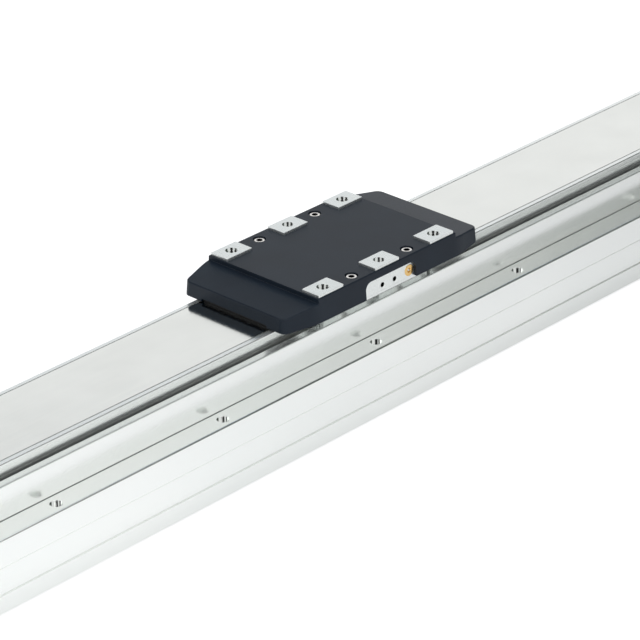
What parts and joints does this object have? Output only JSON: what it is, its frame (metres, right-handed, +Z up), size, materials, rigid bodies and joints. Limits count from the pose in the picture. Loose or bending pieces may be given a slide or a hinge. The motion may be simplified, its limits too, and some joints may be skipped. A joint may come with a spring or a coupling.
{
  "type": "belt-driven linear slide",
  "caption": "Linear slide with a low carriage under a black hood, driven by a toothed belt inside a wide aluminium profile that a steel band closes.",
  "frame": {"origin": "middle of the base profile's length and width, on its underside", "axes": "+X along the slide from the drive head to the tension head, +Y across it away from the drive journal, +Z up through the carriage pads"},
  "size_m": [1.145, 0.179, 0.1115],
  "materials": {
    "anodised_aluminium": "clear anodised, satin",
    "milled_aluminium": "milled",
    "black_shell": "matte, fine texture",
    "black_coated_metal": "satin black coating",
    "stainless_band": "satin, rolled",
    "bright_steel": "zinc plated",
    "ground_steel": "ground",
    "cap_plastic": "matte",
    "black_rubber": "matte",
    "nipple_brass": "polished"
  },
  "bodies": {
    "frame": {"base_profile": "anodised_aluminium", "guide_rail_near": "ground_steel", "guide_rail_far": "ground_steel", "rail_screws": "bright_steel", "cover_bar": "anodised_aluminium", "cover_bar_screws": "bright_steel", "cover_band": "stainless_band", "band_clamp_drive_end": "black_coated_metal", "band_clamp_tension_end": "black_coated_metal", "band_clamp_screws": "bright_steel", "toothed_belt": "black_rubber", "drive_housing": "anodised_aluminium", "drive_housing_bolts": "bright_steel", "drive_end_cover": "black_coated_metal", "drive_cover_screws": "bright_steel", "motor_flange": "anodised_aluminium", "motor_flange_screws": "bright_steel", "drive_bearing_outer_rings": "ground_steel", "drive_bearing_balls": "ground_steel", "drive_bearing_shields": "ground_steel", "retaining_rings": "bright_steel", "bearing_cap": "anodised_aluminium", "tension_housing": "anodised_aluminium", "tension_housing_bolts": "bright_steel", "tension_end_cover": "black_coated_metal", "tension_cover_screws": "bright_steel", "stop_buffers_drive_end": "black_rubber", "stop_buffers_tension_end": "black_rubber"},
    "drive_shaft": {"drive_shaft": "ground_steel", "drive_pulley": "milled_aluminium", "drive_pulley_flanges": "bright_steel", "pulley_key": "bright_steel", "drive_bearing_inner_rings": "ground_steel"},
    "tension_yoke": {"tension_yoke": "milled_aluminium", "idler_axle": "ground_steel", "idler_bearing_inner_rings": "ground_steel", "idler_spacers": "ground_steel"},
    "idler_pulley": {"idler_pulley": "milled_aluminium", "idler_pulley_flanges": "bright_steel", "idler_bearing_outer_rings": "ground_steel", "idler_bearing_balls": "ground_steel"},
    "tension_screw_near": {"tension_screw_near": "bright_steel"},
    "tension_screw_far": {"tension_screw_far": "bright_steel"},
    "carriage": {"carriage_plate": "milled_aluminium", "carriage_hood": "black_shell", "carriage_screws": "bright_steel", "carriage_frame": "milled_aluminium", "runner_block_drive_end_near": "ground_steel", "runner_block_drive_end_far": "ground_steel", "runner_block_tension_end_near": "ground_steel", "runner_block_tension_end_far": "ground_steel", "runner_end_caps": "cap_plastic", "runner_block_screws": "bright_steel", "belt_clamps_lower": "milled_aluminium", "belt_clamps_upper": "milled_aluminium", "belt_clamp_screws": "bright_steel", "grease_nipple_near": "nipple_brass", "grease_nipple_far": "nipple_brass", "band_scraper_drive_end": "black_rubber", "band_scraper_tension_end": "black_rubber"}
  },
  "joints": [
    {"name": "carriage_slide", "type": "slide", "parent": "frame", "child": "carriage", "axis": [1, 0, 0], "range_m": [-0.38, 0.345]},
    {"name": "drive_shaft_turn", "type": "hinge", "parent": "frame", "child": "drive_shaft", "pos_m": [-0.5265, 0, 0.05371], "axis": [0, 1, 0], "range_deg": [-860, 780]},
    {"name": "tension_slide", "type": "slide", "parent": "frame", "child": "tension_yoke", "axis": [1, 0, 0], "range_m": [-0.003, 0]},
    {"name": "idler_pulley_turn", "type": "hinge", "parent": "tension_yoke", "child": "idler_pulley", "pos_m": [0.5135, 0, 0.05371], "axis": [0, 1, 0], "range_deg": [-860, 780]},
    {"name": "tension_screw_near_turn", "type": "hinge", "parent": "frame", "child": "tension_screw_near", "pos_m": [0.56, -0.013, 0.05371], "axis": [1, 0, 0], "range_deg": [-5, 1090]},
    {"name": "tension_screw_far_turn", "type": "hinge", "parent": "frame", "child": "tension_screw_far", "pos_m": [0.56, 0.013, 0.05371], "axis": [1, 0, 0], "range_deg": [-5, 1090]}
  ],
  "couplings": [
    {"joint": "drive_shaft_turn", "follows": "carriage_slide", "rad_per_m": 39.27},
    {"joint": "idler_pulley_turn", "follows": "carriage_slide", "rad_per_m": 39.27},
    {"joint": "tension_screw_near_turn", "follows": "tension_slide", "rad_per_m": -6283.2},
    {"joint": "tension_screw_far_turn", "follows": "tension_slide", "rad_per_m": -6283.2}
  ]
}
